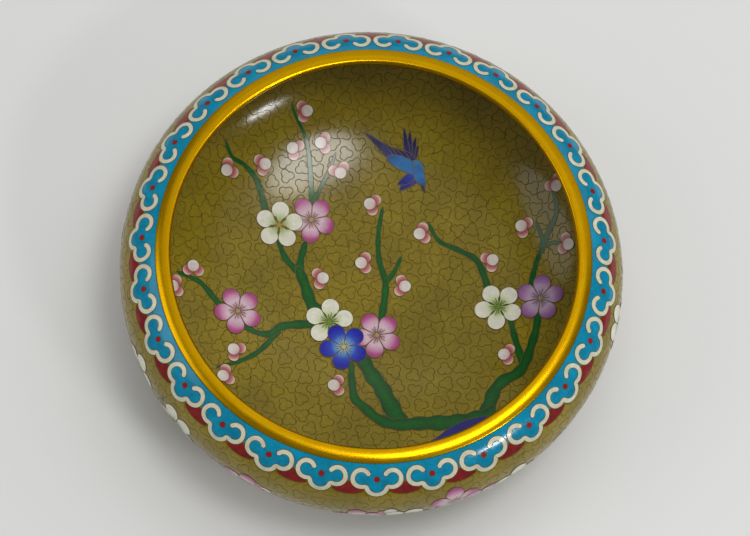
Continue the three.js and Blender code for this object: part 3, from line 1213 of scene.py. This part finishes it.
class BOWL_OT_inner_picture(bpy.types.Operator):
    """Lay the picture inside: branches, blossoms, buds, a rock and a bird"""

    bl_idname = "bowl.inner_picture"
    bl_label = "Picture inside"

    def execute(self, context):
        picture = Picture(FloorChart(wall_faces()))
        for corners, start, end in INNER_BRANCHES:
            picture.branch(corners, start, end)
        self.rock(picture)
        songbird(picture, 10, 72)
        for (x, y), facing in INNER_BUDS:
            picture.bud(x, y, facing)
        picture.lift += 4 * LAYER
        for (x, y), kind, first in INNER_BLOSSOMS:
            picture.blossom(x, y, kind, first)
        picture.finish("inner", picture_materials("inner"))
        return {"FINISHED"}

    def rock(self, picture):
        """A blue garden rock under the trunk, in two lobes, with a wire round each."""
        lobes = [
            (
                [(43, -79), (47, -74.4), (51.5, -69.2), (55.8, -65.8), (60.1, -63), (65.2, -61.4),
                 (70, -59.8), (77, -60.5), (83, -66), (84, -78), (76, -87), (58, -90), (46, -87)],
                "#26237a",
            ),
            ([(58, -80), (62, -74), (70, -71), (78, -73), (78, -81), (69, -85), (61, -84)], "#2f3f9c"),
        ]
        for corners, code in lobes:
            outline = smooth_path(corners, 2.2, closed=True)
            lift = picture.next_layer()
            picture.petals.slab(plate(outline, 2.4), lift, linear(code))
            picture.wires.wire(outline, lift + LAYER / 2, closed=True)


class BOWL_OT_outer_picture(bpy.types.Operator):
    """Lay the sprays of blossom round the outside"""

    bl_idname = "bowl.outer_picture"
    bl_label = "Sprays outside"

    def execute(self, context):
        wall = wall_faces()
        picture = Picture(BandChart(wall))
        step = 2 * math.pi * wall.belly_radius / SPRAYS
        middles = [step * i + FIRST_SPRAY * wall.belly_radius for i in range(SPRAYS)]
        for middle in middles:
            picture.lift = BRANCH_LIFT
            for corners, start, end in SPRAY_BRANCHES:
                picture.branch(corners, start, end, middle)
        for middle in middles:
            picture.lift = MOTIF_LIFT
            for (x, y), facing in SPRAY_BUDS:
                picture.bud(middle + x, y, facing)
        picture.lift = MOTIF_LIFT + 4 * LAYER
        for i, ((turn, y), kind) in enumerate(OUTER_BLOSSOMS):
            picture.blossom(math.radians(turn) * wall.belly_radius, y, kind, 90 + 29 * i)
            picture.lift -= 1.5 * LAYER  # the next one stands only a little over this one
        picture.finish("outer", picture_materials("outer"))
        return {"FINISHED"}


# The camera of the photograph, fitted to the mouth, the belly and the collar
CAMERA_ELEVATION = math.radians(71.16)
CAMERA_ROLL = math.radians(8.91)
CAMERA_DISTANCE = 1.0298
CAMERA_TARGET = Vector((0.00149, -0.00971, 0.080))
CAMERA_LENS = 100.354

# The floor's reach from the middle in metres, and the even light of the room
FLOOR_REACH = 4.0
ROOM_COLOUR = "#eef0f2"
ROOM_STRENGTH = 0.17

# Soft lights. Each has its place and sides in metres, its power in watts, and whether the enamel mirrors it
LIGHTS = {
    "window": ((0.88, -0.63, 0.95), 0.26, 0.15, 2.3, True),
    "softbox": ((0.30, -0.05, 1.45), 0.44, 0.36, 3.6, True),
    "left_wall": ((-1.0, -0.1, 1.15), 0.8, 0.7, 1.5, True),
    "ceiling": ((0.1, 0.5, 2.3), 2.4, 1.6, 2.6, True),
    "back_wall": ((0.3, 2.0, 1.9), 4.4, 2.4, 8.0, True),
    "fill": ((1.1, 1.1, 1.8), 2.2, 1.8, 6.0, False),
    "top_fill": ((0.2, 0.3, 2.5), 2.6, 2.6, 17.0, False),
    "left_fill": ((-1.8, -0.6, 0.95), 1.8, 1.3, 5.0, False),
    "right_fill": ((1.9, -0.2, 0.8), 1.6, 1.1, 4.0, False),
}


class BOWL_OT_stage(bpy.types.Operator):
    """Set the pale floor, the soft lights and the camera"""

    bl_idname = "bowl.stage"
    bl_label = "Stage"

    def execute(self, context):
        scene = context.scene
        corners = [(x * FLOOR_REACH, y * FLOOR_REACH, 0) for x, y in ((-1, -1), (1, -1), (1, 1), (-1, 1))]
        data = bpy.data.meshes.new("floor")
        data.from_pydata(corners, [], [(0, 1, 2, 3)])
        data.materials.append(card("pale_card", colours().floor))
        floor = bpy.data.objects.new("floor", data)
        scene.collection.objects.link(floor)
        for name, (place, wide, high, power, mirrored) in LIGHTS.items():
            self.light(scene, name, Vector(place), wide, high, power).visible_glossy = mirrored
        world = bpy.data.worlds.new("soft_room")
        world.use_nodes = True
        sky = world.node_tree.nodes["Background"]
        sky.inputs["Color"].default_value = (*linear(ROOM_COLOUR), 1)
        sky.inputs["Strength"].default_value = ROOM_STRENGTH
        scene.world = world
        self.camera(scene)
        scene.view_settings.view_transform = "Standard"
        return {"FINISHED"}

    def light(self, scene, name, place, wide, high, power):
        """An oval lamp that faces the bowl."""
        lamp = bpy.data.lights.new(name, "AREA")
        lamp.shape, lamp.size, lamp.size_y, lamp.energy = "ELLIPSE", wide, high, power
        made = bpy.data.objects.new(name, lamp)
        made.location = place
        made.rotation_euler = (place - CAMERA_TARGET).to_track_quat("Z", "Y").to_euler()
        scene.collection.objects.link(made)
        return made

    def camera(self, scene):
        """The photograph's view: from above, a little rolled."""
        back = Vector((0, -math.cos(CAMERA_ELEVATION), math.sin(CAMERA_ELEVATION)))
        level_up = Vector((0, math.sin(CAMERA_ELEVATION), math.cos(CAMERA_ELEVATION)))
        level_right = Vector((1, 0, 0))
        right = math.cos(CAMERA_ROLL) * level_right + math.sin(CAMERA_ROLL) * level_up
        up = -math.sin(CAMERA_ROLL) * level_right + math.cos(CAMERA_ROLL) * level_up
        data = bpy.data.cameras.new("camera")
        data.lens = CAMERA_LENS
        made = bpy.data.objects.new("camera", data)
        axes = Matrix((right, up, back)).transposed().to_4x4()
        made.matrix_world = Matrix.Translation(CAMERA_TARGET + back * CAMERA_DISTANCE) @ axes
        scene.collection.objects.link(made)
        scene.camera = made


class BOWL_PT_panel(bpy.types.Panel):
    """Lists the bowl's values and the steps that make it"""

    bl_label = "Cloisonne Bowl"
    bl_idname = "BOWL_PT_panel"
    bl_space_type = "VIEW_3D"
    bl_region_type = "UI"
    bl_category = "Bowl"

    def draw(self, context):
        for group in (context.scene.bowl_lengths, context.scene.bowl_counts, context.scene.bowl_colours):
            box = self.layout.box()
            for name in type(group).__annotations__:
                box.prop(group, name)
        for step in STEPS:
            self.layout.operator(step.bl_idname)


STEPS = (
    BOWL_OT_stage,
    BOWL_OT_body,
    BOWL_OT_rings,
    BOWL_OT_ground,
    BOWL_OT_collar,
    BOWL_OT_inner_picture,
    BOWL_OT_outer_picture,
)
GROUPS = {"bowl_lengths": BowlLengths, "bowl_counts": BowlCounts, "bowl_colours": BowlColours}


def register():
    """Registers the values, the steps and the panel."""
    for cls in (*GROUPS.values(), *STEPS, BOWL_PT_panel):
        bpy.utils.register_class(cls)
    for name, cls in GROUPS.items():
        setattr(bpy.types.Scene, name, bpy.props.PointerProperty(type=cls))


def unregister():
    """Takes them all back."""
    for name in GROUPS:
        delattr(bpy.types.Scene, name)
    for cls in reversed((*GROUPS.values(), *STEPS, BOWL_PT_panel)):
        bpy.utils.unregister_class(cls)


def main():
    """Makes every piece in order."""
    register()
    for step in STEPS:
        area, name = step.bl_idname.split(".")
        getattr(getattr(bpy.ops, area), name)()


if __name__ == "__main__":
    main()
